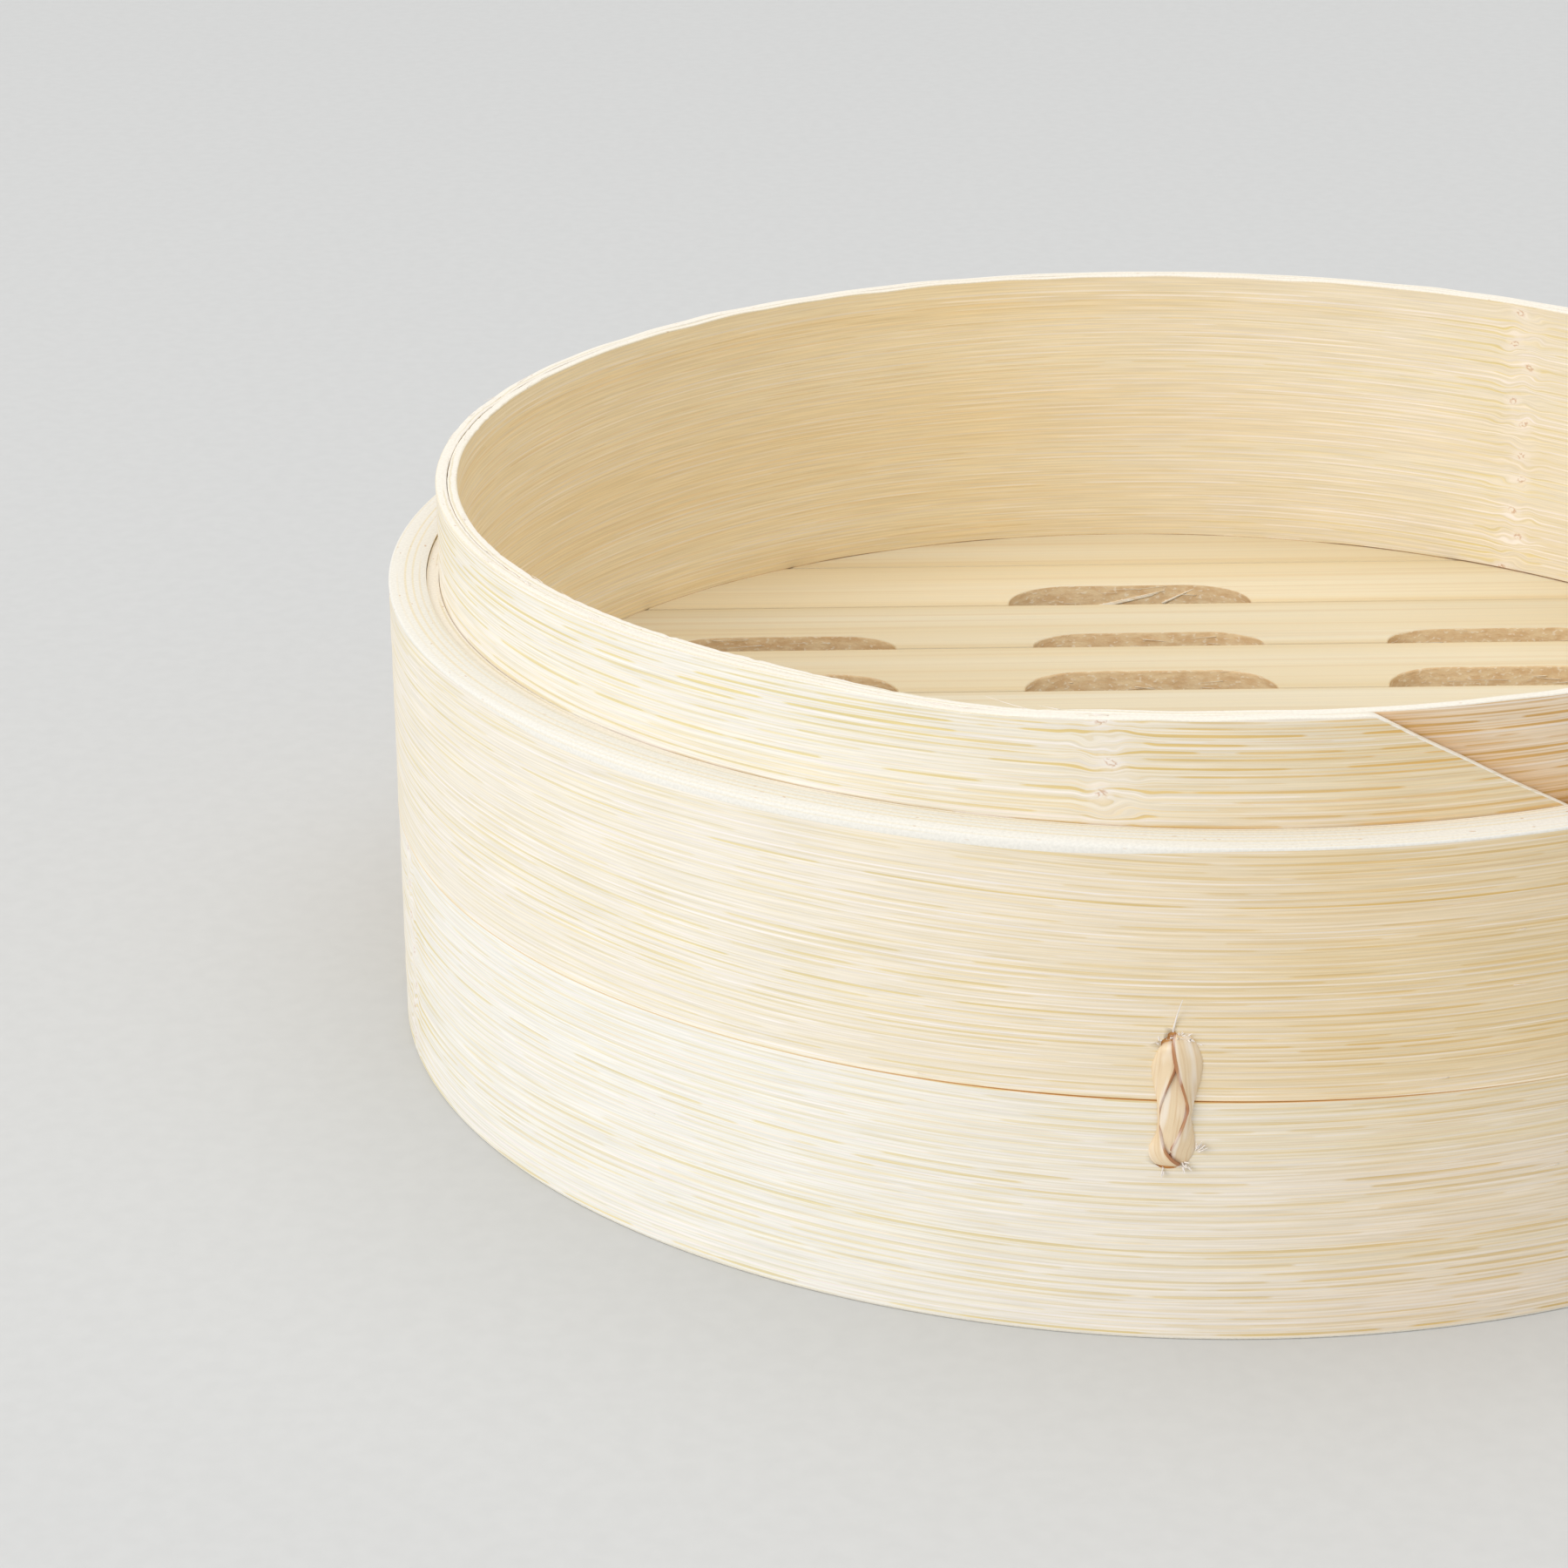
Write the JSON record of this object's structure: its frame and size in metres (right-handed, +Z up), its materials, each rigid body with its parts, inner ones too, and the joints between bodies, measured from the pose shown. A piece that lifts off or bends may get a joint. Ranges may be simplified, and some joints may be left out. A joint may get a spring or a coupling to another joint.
{
  "type": "bamboo steamer",
  "caption": "Round bamboo steamer tier: laced outer bands, a raised neck that takes a lid or another tier, and a slatted floor with steam slots.",
  "frame": {"origin": "middle of the round base, on the surface it stands on", "axes": "+Z up along the axis of the round wall; the cane tie in the picture faces -Y, and the floor slats run along X"},
  "size_m": [0.21, 0.2126, 0.0738],
  "materials": {
    "neck_bamboo": "split bamboo strip, sanded, bare",
    "upper_bamboo": "split bamboo strip, sanded, bare",
    "lower_bamboo": "split bamboo strip, sanded, bare",
    "hidden_bamboo": "split bamboo, rough sawn, bare",
    "slat_bamboo": "planed bamboo slat, bare",
    "cane": "flat split cane, braided, bare"
  },
  "bodies": {
    "root": {"neck_hoop": "neck_bamboo", "liner_hoop": "hidden_bamboo", "upper_band": "upper_bamboo", "lower_band": "lower_bamboo", "foot_hoop": "hidden_bamboo", "slat_01": "slat_bamboo", "slat_02": "slat_bamboo", "slat_03": "slat_bamboo", "slat_04": "slat_bamboo", "slat_05": "slat_bamboo", "slat_06": "slat_bamboo", "slat_07": "slat_bamboo", "slat_08": "slat_bamboo", "slat_09": "slat_bamboo", "slat_10": "slat_bamboo", "slat_11": "slat_bamboo", "crossbar_1": "hidden_bamboo", "crossbar_2": "hidden_bamboo", "front_tie": "cane", "rear_tie": "cane"}
  },
  "joints": []
}
